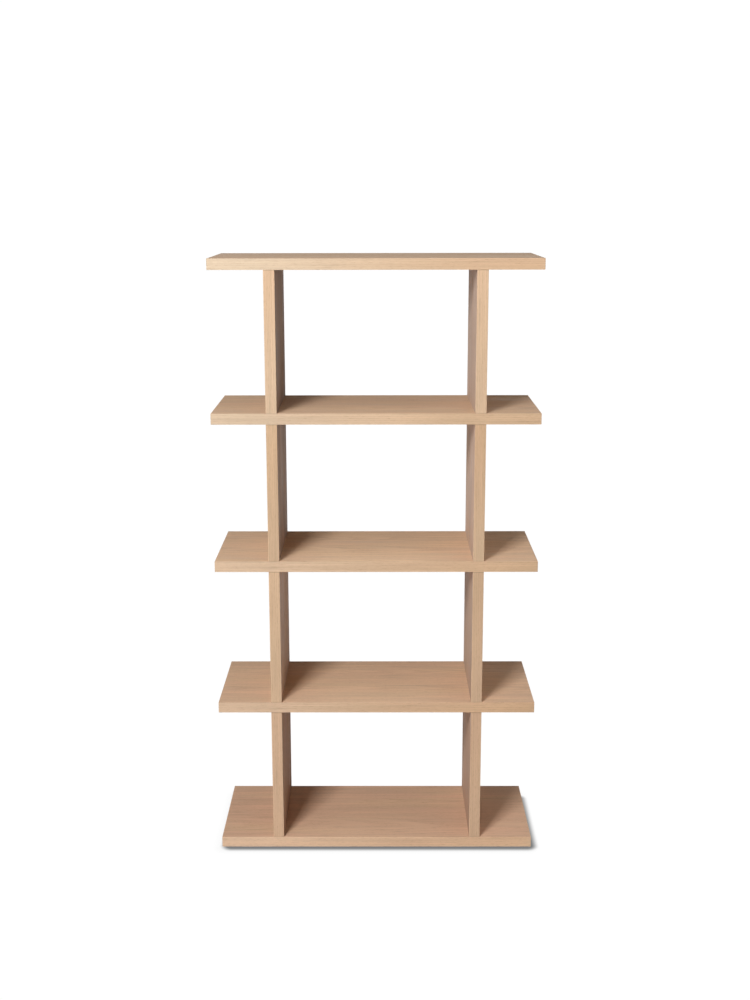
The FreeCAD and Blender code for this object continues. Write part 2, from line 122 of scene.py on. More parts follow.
class Graph:
    """A node tree that is written as expressions."""

    # A Mix node has sockets of the same names for each type of value, so those for colours go by number
    MIX_COLOURS = {"factor": 0, "a": 6, "b": 7, "result": 2}

    def __init__(self, tree: bpy.types.NodeTree) -> None:
        """Start from an empty tree."""
        tree.nodes.clear()
        self.tree = tree

    def add(
        self,
        kind: str,
        settings: dict[str, Any] | None = None,
        sockets: dict[str | int, Any] | None = None,
        output: str | int = 0,
    ) -> Wire:
        """Add any node.

        Args:
            kind: Blender's name for the node's type.
            settings: The node's own properties, which are set first.
            sockets: Values or wires for its inputs, by name or number.
            output: The output to return, by name or number.

        Returns:
            The chosen output.
        """
        node = self.tree.nodes.new(kind)
        for name, value in (settings or {}).items():
            setattr(node, name, value)
        for key, value in (sockets or {}).items():
            if isinstance(value, Wire):
                self.tree.links.new(value.socket, node.inputs[key])
            else:
                node.inputs[key].default_value = value
        return Wire(self, node.outputs[output])

    def place(self) -> Wire:
        """Where each point lies, in the frame that all objects share."""
        return self.add("ShaderNodeTexCoord", None, None, "Object")

    def maths(self, operation: str, *values: Operand) -> Wire:
        """A Math node on one or two values."""
        return self.add("ShaderNodeMath", {"operation": operation}, dict(enumerate(values)))

    def smooth(self, value: Wire, low: float, high: float) -> Wire:
        """A soft step from zero at low to one at high."""
        settings = {"interpolation_type": "SMOOTHSTEP"}
        return self.add("ShaderNodeMapRange", settings, {"Value": value, "From Min": low, "From Max": high})

    def vector(self, *parts: Operand) -> Wire:
        """A vector from its three parts."""
        return self.add("ShaderNodeCombineXYZ", None, dict(enumerate(parts)))

    def parts(self, vector: Wire) -> list[Wire]:
        """The three parts of a vector or colour."""
        first = self.add("ShaderNodeSeparateXYZ", None, {"Vector": vector})
        return [first, first.also("Y"), first.also("Z")]

    def noise(self, vector: Wire, detail: float = 2.0, roughness: float = 0.5) -> Wire:
        """Smooth noise about one half, one unit of the vector to a patch."""
        sockets = {"Vector": vector, "Scale": 1.0, "Detail": detail, "Roughness": roughness}
        return self.add("ShaderNodeTexNoise", None, sockets)

    def chance(self, vector: Wire) -> list[Wire]:
        """Three chance numbers from zero to one for each value of a vector."""
        settings = {"noise_dimensions": "3D"}
        return self.parts(self.add("ShaderNodeTexWhiteNoise", settings, {"Vector": vector}, "Color"))

    def blend(self, factor: Operand, first: Wire | Colour, second: Wire | Colour) -> Wire:
        """A colour between two others.

        Args:
            factor: Share of the second colour.
            first, second: The two colours.

        Returns:
            The blended colour.
        """
        pins = self.MIX_COLOURS
        sockets = {pins["factor"]: factor, pins["a"]: first, pins["b"]: second}
        return self.add("ShaderNodeMix", {"data_type": "RGBA"}, sockets, pins["result"])

    def scaled(self, vector: Wire, amount: Operand) -> Wire:
        """A colour or a place, times a number."""
        settings = {"operation": "SCALE"}
        return self.add("ShaderNodeVectorMath", settings, {"Vector": vector, "Scale": amount})

    def relief(self, height: Wire, distance: float, strength: float) -> Wire:
        """A normal that follows a height from zero to one, a distance deep."""
        sockets = {"Height": height, "Distance": distance, "Strength": strength}
        return self.add("ShaderNodeBump", None, sockets)

    def surface(self, sockets: dict[str, Any]) -> None:
        """Make a surface shader with these sockets, and join it to the tree's output."""
        self.close(self.add("ShaderNodeBsdfPrincipled", None, sockets))

    def close(self, shader: Wire, kind: str = "ShaderNodeOutputMaterial") -> None:
        """Join a shader to the tree's output."""
        self.tree.links.new(shader.socket, self.tree.nodes.new(kind).inputs["Surface"])


def new_material(name: str) -> tuple[bpy.types.Material, Graph]:
    """Start a material.

    Args:
        name: The material's name.

    Returns:
        The material and its empty graph.
    """
    material = bpy.data.materials.new(name)
    material.use_nodes = True
    return material, Graph(material.node_tree)


class Grain(Enum):
    """Which of a board's X, Y and Z run along, across and through its grain."""

    ALONG_SHELF = (0, 1, 2)
    UP_UPRIGHT = (2, 1, 0)


class InnerFace(Enum):
    """The side of a board on which its face towards the bay lies, where its two faces differ."""

    LEFT = -1
    NEITHER = 0
    RIGHT = 1


@dataclass(frozen=True)
class Lot:
    """The lot of veneer that one board is covered with.

    Attributes:
        node: The board's node in the frame.
        face: How light its face veneer is, against the rest; on a panel, the face towards the bay, mostly
            darker as painted shade.
        edge: How light its edge bands are, against the rest.
        sheen: How strongly its lacquer shines.
        rose: How far its face veneer leans to the blush colour; its edge bands lean less.
        painted_light: How much painted light and sheen pale and grey its faces in the middle of the front.
        pallor: How pale its edge bands are at the start of their run; on a shelf, painted light at the left
            end.
        drift: How far its edge bands turn to a honey colour along their run; on a shelf, painted light
            falling off to the right.
        streak: How strongly broad streaks show on its inner face: grain, and painted streaks of sheen.
    """

    node: str
    face: float
    edge: float
    sheen: float
    rose: float = 0.0
    painted_light: float = 0.0
    pallor: float = 0.0
    drift: float = 0.0
    streak: float = 0.0


@dataclass(frozen=True)
class Board:
    """One veneered board of the frame.

    Attributes:
        lot: Its lot of veneer.
        grain: The way that its grain runs.
        seed: A number of its own, so that no two boards have the same figure.
        banded_ends: True where the short ends are banded, false where joints hide them.
        inner_face: The side on which its inner face lies.
    """

    lot: Lot
    grain: Grain
    seed: float
    banded_ends: bool
    inner_face: InnerFace

    def middle(self) -> Vector:
        """The board's middle."""
        low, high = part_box(self.lot.node)
        return (low + high) / 2

    def half_sizes(self) -> list[float]:
        """Measure the board.

        Returns:
            Half its length along, across and through the grain.
        """
        low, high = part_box(self.lot.node)
        half = (high - low) / 2
        return [half[axis] for axis in self.grain.value]


@dataclass(frozen=True)
class Streak:
    """A noise that is drawn out along the grain.

    Attributes:
        along, across: Patches to a metre along and across the grain.
        detail: How many finer sizes are added.
    """

    along: float
    across: float
    detail: float


@dataclass
class Figure:
    """Wires that say where a point lies in a board's wood.

    Attributes:
        along: Distance along the grain.
        across: Distance across the grain, from the middle of a leaf or band.
        leaf: Whole number of the leaf or band.
        strip: One on the straight-grained bands, zero on the faces.
        outer: One on the half of a panel that looks away from the bay.
        glue: One on the thin lines between bands and faces.
        arris: One at the board's sanded corners, falling to zero a little way in.
        joint: Shade of the line where an end meets the next board, deeper at the top than at the foot.
        run: Zero at the start of the board's edge bands, rising to one at their end.
        painted_light_mask: One in the middle of the faces' front, where light and sheen are painted,
            falling to zero at the back and towards the ends.
        luck: Three chance numbers of the leaf or band.
    """

    along: Wire
    across: Wire
    leaf: Wire
    strip: Wire
    outer: Wire
    glue: Wire
    arris: Wire
    joint: Wire
    run: Wire
    painted_light_mask: Wire
    luck: list[Wire]


@dataclass
class Marks:
    """Wires of the marks in a board's wood.

    Attributes:
        early: How much of the early, porous wood of a ring shows.
        year: Tone of the ring's year, about zero.
        pores: One in the open pores.
        fibre, ribbon, cloud: Fine, middling and broad streaks, about one half.
    """

    early: Wire
    year: Wire
    pores: Wire
    fibre: Wire
    ribbon: Wire
    cloud: Wire


@dataclass(frozen=True)
class OakVeneer:
    """Matt lacquered oak veneer: crown-cut leaves on the faces, straight-grained bands on the edges.

    The growth rings are shells round the heart of the log. On a face the leaf cuts them flat, so they show
    as long arches, and on a band they run straight. Pores are thickest where each ring starts.
    """

    # Colours of the wood, of what it leans to, of its marks and of the painted light
    latewood: Colour = srgb(226, 194, 164)
    outer_latewood: Colour = srgb(226, 194, 164)
    band_latewood: Colour = srgb(226, 194, 164)
    earlywood: Colour = srgb(202, 165, 132)
    pale: Colour = srgb(217, 198, 172)
    honey: Colour = srgb(222, 176, 128)
    blush: Colour = srgb(226, 186, 158)
    straw: Colour = srgb(224, 193, 158)
    painted_light_colour: Colour = srgb(220, 197, 165)
    pore: Colour = srgb(150, 112, 82)
    glue_line: Colour = srgb(150, 116, 88)

    # Sizes of the leaves, bands, lines and corners
    leaf_width: float = 0.124
    band_thickness: float = 0.0009
    glue_width: float = 0.00022
    arris_width: float = 0.0022
    joint_width: float = 0.0022

    # The log: its rings, where its heart lies, and how far apart along it two leaves may be cut
    ring_width: float = 0.0041
    ring_jitter: float = 1.3
    jitter_scale: float = 90.0
    log_taper: float = 0.028
    log_length: float = 2.4
    heart_depth: float = 0.075
    heart_wander: float = 0.7
    band_heart: float = 0.2
    waver_size: float = 0.020
    feather_size: float = 0.0022

    # Numbers that keep the leaves of the two faces, the edges and the ends apart
    face_number: int = 9
    edge_number: int = 40
    end_number: int = 60
    streak_step: float = 7.3
    jitter_step: float = 3.7

    # Streaks, from the broadest to the finest
    waver: Streak = Streak(1.7, 9, 1)
    warmth: Streak = Streak(2.2, 15, 1)
    broad: Streak = Streak(6, 19, 1)
    cloud: Streak = Streak(3, 28, 2)
    feather: Streak = Streak(13, 95, 1)
    fleck: Streak = Streak(12, 110, 1)
    ribbon: Streak = Streak(4, 130, 1)
    fibre: Streak = Streak(5, 380, 3)
    vessel: Streak = Streak(85, 2100, 1)
    streak_roughness: float = 0.6

    # Values between which a streak or a ring's phase shows as a mark
    fleck_limits: Limits = (0.60, 0.76)
    wear_and_highlight_limits: Limits = (0.30, 0.62)
    blush_limits: Limits = (0.48, 0.72)
    straw_limits: Limits = (0.30, 0.50)
    pore_limits: Limits = (0.54, 0.68)
    early_rise: Limits = (0.0, 0.12)
    early_fall: Limits = (0.2, 0.85)
    painted_light_reach: Limits = (0.2, 0.65)

    # Tone of each mark and of the painted arris highlight, and how much of a joint's shade is at the foot
    plain_tone: float = 0.95
    outer_tone: float = 1.0
    fibre_tone: float = 0.14
    ribbon_tone: float = 0.17
    cloud_tone: float = 0.28
    fleck_tone: float = 0.07
    wear_and_highlight_tone: float = 0.10
    leaf_tone: float = 0.06
    year_tone: float = 0.04
    joint_tone: float = 0.4
    foot_joint: float = 0.5

    # How much of each colour shows, how much less rose the bands have, and how many pores the late wood has
    early_share: float = 0.28
    blush_share: float = 0.15
    straw_share: float = 0.4
    painted_light_share: float = 3.0
    pore_share: float = 0.45
    glue_share: float = 0.5
    band_rose: float = 0.5
    late_pores: float = 0.16

    # The lacquer: its roughness, and the relief of fibres and pores under it
    refraction: float = 1.46
    rough_level: float = 0.70
    pore_rough: float = 0.12
    ribbon_rough: float = 0.2
    cloud_rough: float = 0.8
    fibre_height: float = 0.3
    pore_depth: float = 0.00006
    relief_strength: float = 0.6

    def material(self, board: Board) -> bpy.types.Material:
        """Make the finish of one board.

        Args:
            board: The board to be covered.

        Returns:
            Its material, with the grain laid out on the board's own faces.
        """
        material, graph = new_material(f"oak_{board.lot.node}")
        figure = self.figure(graph, board)
        marks = self.marks(graph, figure, board.seed)
        rough = (
            self.rough_level
            + self.pore_rough * marks.pores
            + self.ribbon_rough * marks.ribbon.about_zero()
            + self.cloud_rough * marks.cloud.about_zero()
        )
        height = self.fibre_height * marks.fibre - marks.pores
        graph.surface({
            "Base Color": self.colour(graph, board.lot, figure, marks),
            "Roughness": rough,
            "IOR": self.refraction,
            "Specular IOR Level": board.lot.sheen,
            "Normal": graph.relief(height, self.pore_depth, self.relief_strength),
        })
        return material

    def colour(self, graph: Graph, lot: Lot, figure: Figure, marks: Marks) -> Wire:
        """Blend the colours of the wood and its marks.

        Args:
            graph: The material's graph.
            lot: The board's lot of veneer.
            figure: Where each point lies in the wood.
            marks: The marks in the wood.

        Returns:
            The colour of each point.
        """
        warmth = self.streaked(graph, figure, self.warmth)
        blush_patch = self.blush_share * graph.smooth(warmth, *self.blush_limits)
        straw_patch = self.straw_share * (1 - graph.smooth(warmth, *self.straw_limits))
        layers = (
            (figure.outer, self.outer_latewood),
            (figure.strip, self.band_latewood),
            # On the shelves, the run from pale to honey is painted light falling off from the left end to
            # the right
            (lot.pallor * (figure.strip - figure.run), self.pale),
            (lot.drift * figure.run, self.honey),
            (self.early_share * marks.early, self.earlywood),
            (lot.rose * (1 - self.band_rose * figure.strip) + blush_patch, self.blush),
            (straw_patch, self.straw),
            # Painted light and sheen: a paler, greyer middle of the faces' front
            (self.painted_light_share * (lot.painted_light * figure.painted_light_mask), self.painted_light_colour),
        )
        wood = self.latewood
        for share, colour in layers:
            wood = graph.blend(share, wood, colour)
        wood = graph.scaled(wood, self.tone(graph, lot, figure, marks))
        wood = graph.blend(self.pore_share * marks.pores, wood, self.pore)
        return graph.blend(self.glue_share * figure.glue, wood, self.glue_line)

    def tone(self, graph: Graph, lot: Lot, figure: Figure, marks: Marks) -> Wire:
        """Work out how light the wood is.

        Args:
            graph: The material's graph.
            lot: The board's lot of veneer.
            figure: Where each point lies in the wood.
            marks: The marks in the wood.

        Returns:
            The factor on the colour of each point.
        """
        # Painted shade: the panels' faces towards the bays take their lot's darker tone, the outer faces a
        # plain one
        face = lot.face + figure.outer * (self.outer_tone - lot.face)
        face_or_edge = face + figure.strip * (lot.edge - face)
        fleck = graph.smooth(self.streaked(graph, figure, self.fleck), *self.fleck_limits)
        # Painted highlight: the arrises are paler in patches, partly rubbed wear and partly light caught on
        # the rounded edges
        wear_and_highlight = figure.arris * graph.smooth(marks.cloud, *self.wear_and_highlight_limits)
        # Broad streaks on the inner faces: grain, and painted streaks of sheen
        inner = (1 - figure.outer) * (1 - figure.strip)
        broad = inner * self.streaked(graph, figure, self.broad).about_zero()
        varied = (
            self.plain_tone
            + self.fibre_tone * marks.fibre.about_zero()
            + self.ribbon_tone * marks.ribbon.about_zero()
            + self.cloud_tone * marks.cloud.about_zero()
            - self.fleck_tone * fleck
            + self.wear_and_highlight_tone * wear_and_highlight
            # Painted light: lighter in the middle of the faces' front
            + lot.painted_light * figure.painted_light_mask
            + lot.streak * broad
            + self.leaf_tone * figure.luck[2].about_zero()
            + self.year_tone * marks.year
        )
        return face_or_edge * varied * (1 - self.joint_tone * figure.joint)

    def figure(self, graph: Graph, board: Board) -> Figure:
        """Lay leaves over the faces and bands over the edges.

        A point belongs to a band where it is nearer to that edge of the board than the band is thick, and
        otherwise to the leaf that its distance across the board falls in.

        Args:
            graph: The material's graph.
            board: The board to be covered.

        Returns:
            Where each point lies in the wood.
        """
        to_middle = {"Vector": graph.place(), "Location": tuple(-board.middle())}
        centred = graph.parts(graph.add("ShaderNodeMapping", None, to_middle))
        length, width, depth = (centred[axis] for axis in board.grain.value)
        half_length, half_width, half_depth = board.half_sizes()
        from_end = abs(length) - half_length
        from_side = abs(width) - half_width
        from_face = abs(depth) - half_depth
        banded = float(board.banded_ends)

        # Faces, edge bands and end bands
        on_edge = from_side > -self.band_thickness
        on_end = (from_end > -self.band_thickness) * (1 - on_edge) * banded
        strip = on_edge + on_end
        outer = depth * -board.inner_face.value > 0.0
        leaves = width / self.leaf_width + board.seed
        in_leaf = graph.maths("FRACT", leaves).about_zero() * self.leaf_width
        face_leaf = graph.maths("FLOOR", leaves) + self.face_number * graph.maths("SIGN", depth)
        edge_band = self.edge_number + graph.maths("SIGN", width)
        end_band = self.end_number + graph.maths("SIGN", length)
        leaf = face_leaf * (1 - strip) + edge_band * on_edge + end_band * on_end

        # Glue lines, sanded corners and the lines at butted ends
        half_glue = self.glue_width / 2
        side_line = abs(from_side + self.band_thickness) < half_glue
        end_line = (abs(from_end + self.band_thickness) < half_glue) * banded
        nearest = graph.maths("MAXIMUM", from_side, from_end)
        near_edge = graph.smooth(nearest, -self.arris_width, 0.0)
        near_face = graph.smooth(from_face, -self.arris_width, 0.0)
        mean_joint = (1 + self.foot_joint) / 2
        deeper_at_top = mean_joint + (1 - mean_joint) * graph.maths("SIGN", length)
        joint = graph.smooth(from_end, -self.joint_width, 0.0) * deeper_at_top * (1 - banded)

        # Colour along the bands, painted light falling off on the shelves, and painted light mid-front
        run = graph.smooth(length, -half_length, half_length) * strip
        start, end = (share * half_length for share in self.painted_light_reach)
        towards_ends = graph.smooth(abs(length), start, end)
        towards_back = graph.smooth(width, -half_width, half_width)

        luck = graph.chance(graph.vector(leaf, board.seed, 0.0))
        return Figure(
            along=length + on_end * (width - length) + self.log_length * luck[1].about_zero(),
            across=in_leaf + strip * (depth - in_leaf),
            leaf=leaf,
            strip=strip,
            outer=outer,
            glue=graph.maths("MAXIMUM", side_line, end_line),
            arris=near_edge * near_face,
            joint=joint,
            run=run,
            painted_light_mask=(1 - towards_ends) * (1 - towards_back) * (1 - strip),
            luck=luck,
        )

    def streaked(self, graph: Graph, figure: Figure, streak: Streak) -> Wire:
        """Draw a noise out along the grain, another one on each leaf.

        Args:
            graph: The material's graph.
            figure: Where each point lies in the wood.
            streak: Its size along and across the grain.

        Returns:
            The noise, about one half.
        """
        along = figure.along * streak.along
        across = figure.across * streak.across
        apart = figure.leaf * self.streak_step + streak.across
        return graph.noise(graph.vector(along, across, apart), streak.detail, self.streak_roughness)

    def marks(self, graph: Graph, figure: Figure, seed: float) -> Marks:
        """Draw the marks of the wood.

        A ring's radius is the root of the squared distance from the heart line across the leaf and the
        squared depth of the heart below it. The depth grows along the log with its taper, and wavers. Pores
        are fine dashes along the grain, thickest in the early wood.

        Args:
            graph: The material's graph.
            figure: Where each point lies in the wood.
            seed: The board's own number.

        Returns:
            The marks in the wood.
        """
        face_heart = figure.luck[0].about_zero() * (self.heart_wander * self.leaf_width)
        band_heart = -self.band_heart - self.band_heart * figure.luck[0]
        heart = face_heart + figure.strip * (band_heart - face_heart)
        waver = self.waver_size * self.streaked(graph, figure, self.waver).about_zero()
        feather = self.feather_size * self.streaked(graph, figure, self.feather).about_zero()
        offset = figure.across - heart
        depth = self.heart_depth + self.log_taper * figure.along + waver
        radius = graph.maths("SQRT", offset * offset + depth * depth) + feather
        jitter_place = graph.vector(radius * self.jitter_scale, figure.leaf * self.jitter_step, seed)
        ring = radius / self.ring_width + self.ring_jitter * graph.noise(jitter_place, detail=0)
        phase = graph.maths("FRACT", ring)
        early = graph.smooth(phase, *self.early_rise) * (1 - graph.smooth(phase, *self.early_fall))
        year = graph.chance(graph.vector(graph.maths("FLOOR", ring), figure.leaf, seed))[0]
        vessels = graph.smooth(self.streaked(graph, figure, self.vessel), *self.pore_limits)
        return Marks(
            early=early,
            year=year.about_zero(),
            pores=vessels * (self.late_pores + (1 - self.late_pores) * early),
            fibre=self.streaked(graph, figure, self.fibre),
            ribbon=self.streaked(graph, figure, self.ribbon),
            cloud=self.streaked(graph, figure, self.cloud),
        )


@dataclass(frozen=True)
class MouldedPlastic:
    """Moulded plastic with a fine spark-eroded texture.

    Attributes:
        name: The material's name.
        colour, flow: The plastic's colour and the colour of its faint flow marks.
        rough_level: Roughness of the mould's surface.
        flow_scale, flow_limits: Flow marks to a metre, and the noise between which they show.
        grit_scale, grit_depth, grit_strength: Texture's grains to a metre, their depth and their relief.
        grit_rough: How much the grains change the roughness.
        refraction: Index of refraction.
    """

    name: str
    colour: Colour
    flow: Colour
    rough_level: float
    flow_scale: float = 900.0
    flow_limits: Limits = (0.35, 0.7)
    grit_scale: float = 4200.0
    grit_depth: float = 0.00004
    grit_strength: float = 0.5
    grit_rough: float = 0.15
    refraction: float = 1.49

    def material(self) -> bpy.types.Material:
        """Make the finish.

        Returns:
            The material.
        """
        material, graph = new_material(self.name)
        place = graph.place()
        marks = graph.noise(graph.scaled(place, self.flow_scale), detail=2)
        grit = graph.noise(graph.scaled(place, self.grit_scale), detail=1)
        graph.surface({
            "Base Color": graph.blend(graph.smooth(marks, *self.flow_limits), self.colour, self.flow),
            "Roughness": self.rough_level + self.grit_rough * grit.about_zero(),
            "IOR": self.refraction,
            "Normal": graph.relief(grit, self.grit_depth, self.grit_strength),
        })
        return material


@dataclass(frozen=True)
class PlatedMetal:
    """Cast or drawn metal with a dull plated skin.

    Attributes:
        name: The material's name.
        colour, stain: The plating's colour and the colour of its cloudy patches.
        rough_level: Roughness of the skin.
        patch_scale, patch_limits: Cloudy patches to a metre, and the noise between which they show.
        patch_fray: How frayed the patches are.
        patch_rough: How much the patches change the roughness.
        grit_finer: How many times finer the grains of the skin are than the patches.
        grit_depth, grit_strength: The grains' depth and their relief.
    """

    name: str
    colour: Colour
    stain: Colour
    rough_level: float
    patch_scale: float
    patch_limits: Limits = (0.35, 0.7)
    patch_fray: float = 0.6
    patch_rough: float = 0.25
    grit_finer: float = 5.0
    grit_depth: float = 0.00003
    grit_strength: float = 0.5

    def material(self) -> bpy.types.Material:
        """Make the finish.

        Returns:
            The material.
        """
        material, graph = new_material(self.name)
        place = graph.place()
        cloud = graph.noise(graph.scaled(place, self.patch_scale), detail=3, roughness=self.patch_fray)
        grit = graph.noise(graph.scaled(place, self.grit_finer * self.patch_scale), detail=1)
        graph.surface({
            "Base Color": graph.blend(graph.smooth(cloud, *self.patch_limits), self.colour, self.stain),
            "Metallic": 1.0,
            "Roughness": self.rough_level + self.patch_rough * cloud.about_zero(),
            "Normal": graph.relief(grit, self.grit_depth, self.grit_strength),
        })
        return material


@dataclass(frozen=True)
class BeechRod:
    """Plain beech: pale pink-brown, with short dark flecks along the rod.

    Attributes:
        colour, fleck: The wood's colour and the colour of its flecks.
        fleck_scales: Flecks to a metre along X, Y and Z.
        fleck_limits: The noise between which the flecks show.
        fleck_share, fleck_rough: How much of their colour shows, and how rough they make the wood.
        tone_scales: Patches of tone to a metre along X, Y and Z.
        low_tone, tone_range: The darkest tone, and how far above it the lightest is.
        rough_level: Roughness of the turned rod.
        grain_depth, grain_strength: Depth of the grain and its relief.
    """

    colour: Colour = srgb(214, 176, 138)
    fleck: Colour = srgb(160, 116, 82)
    fleck_scales: Scales = (2600, 2600, 420)
    fleck_limits: Limits = (0.58, 0.7)
    fleck_share: float = 0.6
    fleck_rough: float = 0.1
    tone_scales: Scales = (700, 700, 30)
    low_tone: float = 0.85
    tone_range: float = 0.3
    rough_level: float = 0.7
    grain_depth: float = 0.0002
    grain_strength: float = 0.5

    def material(self) -> bpy.types.Material:
        """Make the finish, with the grain up the rods.

        Returns:
            The material.
        """
        material, graph = new_material("beech_dowel")
        place = graph.parts(graph.place())
        fleck_place = graph.vector(*(part * scale for part, scale in zip(place, self.fleck_scales)))
        tone_place = graph.vector(*(part * scale for part, scale in zip(place, self.tone_scales)))
        flecks = graph.smooth(graph.noise(fleck_place, detail=1), *self.fleck_limits)
        tone = graph.noise(tone_place, detail=2)
        wood = graph.blend(flecks * self.fleck_share, self.colour, self.fleck)
        graph.surface({
            "Base Color": graph.scaled(wood, self.low_tone + self.tone_range * tone),
            "Roughness": self.rough_level + self.fleck_rough * flecks,
            "Normal": graph.relief(tone, self.grain_depth, self.grain_strength),
        })
        return material


def dress(node: str, material: bpy.types.Material) -> None:
    """Put one material on all of a node of the frame.

    Args:
        node: The node's name.
        material: Its finish.
    """
    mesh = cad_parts[node].data
    mesh.materials.clear()
    mesh.materials.append(material)
    LOG.info("dressed %s with %s", node, material.name)


@dataclass
class Shelves:
    """The five shelf boards, with their grain along the bookcase and banded ends."""

    lots: tuple[Lot, ...] = (
        Lot("base_shelf", face=1.02, edge=1.12, sheen=0.06, rose=0.7, painted_light=0.06, drift=0.45),
        Lot("second_shelf", face=1.09, edge=1.04, sheen=0.06, rose=0.25, painted_light=0.10, drift=0.55),
        Lot("third_shelf", face=1.11, edge=0.98, sheen=0.06, painted_light=0.11, drift=0.40),
        Lot("fourth_shelf", face=1.04, edge=0.98, sheen=0.06, pallor=0.5, drift=0.35),
        Lot("top_shelf", face=0.88, edge=1.02, sheen=0.20, pallor=0.9, drift=0.40),
    )
    first_seed: float = 3.37
    seed_step: float = 2.61
    finish: OakVeneer = OakVeneer(band_latewood=srgb(224, 195, 166))

    def build(self) -> None:
        """Dress every shelf, each with a figure of its own."""
        for number, lot in enumerate(self.lots):
            seed = self.first_seed + number * self.seed_step
            board = Board(lot, Grain.ALONG_SHELF, seed, banded_ends=True, inner_face=InnerFace.NEITHER)
            dress(lot.node, self.finish.material(board))


@dataclass
class Uprights:
    """The eight upright panels with their cams, caps and dowels; grain up the panels.

    The faces towards the bays are greyer than the faces that look away from them, as painted sheen, and
    mostly darker, as painted shade.
    """

    # The faces towards the bays are mostly set below the outer faces' tone of one as painted shade
    lots: tuple[Lot, ...] = (
        Lot("left_upright_1", face=0.75, edge=1.00, sheen=0.03, rose=0.7, streak=0.3),
        Lot("left_upright_2", face=1.05, edge=0.92, sheen=0.20, streak=0.35),
        Lot("left_upright_3", face=0.67, edge=0.89, sheen=0.23, drift=0.25, streak=1.0),
        Lot("left_upright_4", face=0.69, edge=0.97, sheen=0.14, pallor=0.35, streak=0.3),
        Lot("right_upright_1", face=0.81, edge=0.93, sheen=0.13, rose=0.6, drift=0.15, streak=0.15),
        Lot("right_upright_2", face=0.84, edge=0.90, sheen=0.21, rose=0.2, drift=0.15, streak=0.15),
        Lot("right_upright_3", face=1.03, edge=0.89, sheen=0.35, drift=0.35, streak=0.2),
        Lot("right_upright_4", face=0.93, edge=1.01, sheen=0.33, pallor=0.15, streak=0.15),
    )
    first_seed: float = 21.13
    seed_step: float = 1.73
    # The latewood of the faces towards the bays is greyer than the outer faces' as painted sheen
    finish: OakVeneer = OakVeneer(latewood=srgb(218, 193, 176), band_latewood=srgb(227, 193, 159))
    cap: MouldedPlastic = MouldedPlastic("cap_plastic", srgb(216, 186, 157), srgb(208, 177, 147), 0.5)
    cam: PlatedMetal = PlatedMetal("cam_zinc", srgb(176, 178, 180), srgb(140, 142, 146), 0.42, 700)
    dowel: BeechRod = BeechRod()

    def build(self) -> None:
        """Dress every panel with a figure of its own, and its fittings with theirs."""
        fittings = {
            "caps": self.cap.material(),
            "cams": self.cam.material(),
            "dowels": self.dowel.material(),
        }
        for number, lot in enumerate(self.lots):
            seed = self.first_seed + number * self.seed_step
            low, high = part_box(lot.node)
            inner_face = InnerFace.RIGHT if low.x + high.x < 0 else InnerFace.LEFT
            board = Board(lot, Grain.UP_UPRIGHT, seed, banded_ends=False, inner_face=inner_face)
            dress(lot.node, self.finish.material(board))
            for kind, material in fittings.items():
                dress(f"{lot.node}_{kind}", material)


@dataclass
class Fasteners:
    """The bolts through the shelves and the nailed floor glides under the base."""

    bolt_groups: tuple[str, ...] = ("base", "second", "third", "fourth", "top")
    bolt: PlatedMetal = PlatedMetal("bolt_steel", srgb(188, 188, 184), srgb(158, 156, 148), 0.32, 500)
    nail: PlatedMetal = PlatedMetal("nail_steel", srgb(150, 150, 152), srgb(110, 108, 106), 0.38, 900)
    glide: MouldedPlastic = MouldedPlastic("glide_plastic", srgb(64, 52, 44), srgb(54, 44, 38), 0.55)

    def build(self) -> None:
        """Dress the bolts, the glides and their nails."""
        bolt = self.bolt.material()
        for group in self.bolt_groups:
            dress(f"{group}_shelf_bolts", bolt)
        dress("floor_glides", self.glide.material())
        dress("glide_nails", self.nail.material())


@dataclass(frozen=True)
class Softbox:
    """A rectangular soft lamp.

    Attributes:
        name: The lamp's name.
        place, aim: Where it stands and the point that it faces.
        width, height: Size of its front.
        power: Watts.
        mirrored: True where the lamp also shows as shine on the lacquer.
    """

    name: str
    place: Point
    aim: Point
    width: float
    height: float
    power: float
    mirrored: bool = True

    def build(self) -> None:
        """Stand the lamp in the scene."""
        lamp = bpy.data.lights.new(self.name, "AREA")
        lamp.shape = "RECTANGLE"
        lamp.size = self.width
        lamp.size_y = self.height
        lamp.energy = self.power
        stand = bpy.data.objects.new(self.name, lamp)
        stand.location = self.place
        ahead = Vector(self.aim) - Vector(self.place)
        stand.rotation_euler = ahead.to_track_quat("-Z", "Y").to_euler()
        stand.visible_glossy = self.mirrored
        bpy.context.scene.collection.objects.link(stand)
        LOG.info("lamp %s", self.name)


@dataclass(frozen=True)
class PhotoCamera:
    """The camera, where the photograph was taken from.

    Attributes:
        place: Where it stands.
        turn: Angle to the right of straight ahead.
        dip: Angle below the horizon.
        lean: Angle of its right side below the horizon.
        lens: Focal length in millimetres, for a sensor 36 mm along the long side.
    """

    place: Point = (0.00712, -3.38871, 1.64802)
    turn: float = -0.003053
    dip: float = 0.219522
    lean: float = 0.001417
    lens: float = 48.7056

    def build(self) -> None:
        """Stand the camera in the scene and make it the one that is used."""
        data = bpy.data.cameras.new("photo_camera")
        data.lens = self.lens
        camera = bpy.data.objects.new("photo_camera", data)
        ahead = Vector((
            math.sin(self.turn) * math.cos(self.dip),
            math.cos(self.turn) * math.cos(self.dip),
            -math.sin(self.dip),
        ))
        level = Vector((math.cos(self.turn), -math.sin(self.turn), 0))
        below = ahead.cross(level)
        right = math.cos(self.lean) * level + math.sin(self.lean) * below
        up = math.sin(self.lean) * level - math.cos(self.lean) * below
        axes = Matrix((right, up, -ahead)).transposed().to_4x4()
        camera.matrix_world = Matrix.Translation(self.place) @ axes
        bpy.context.scene.collection.objects.link(camera)
        bpy.context.scene.camera = camera
        LOG.info("camera %s", camera.name)


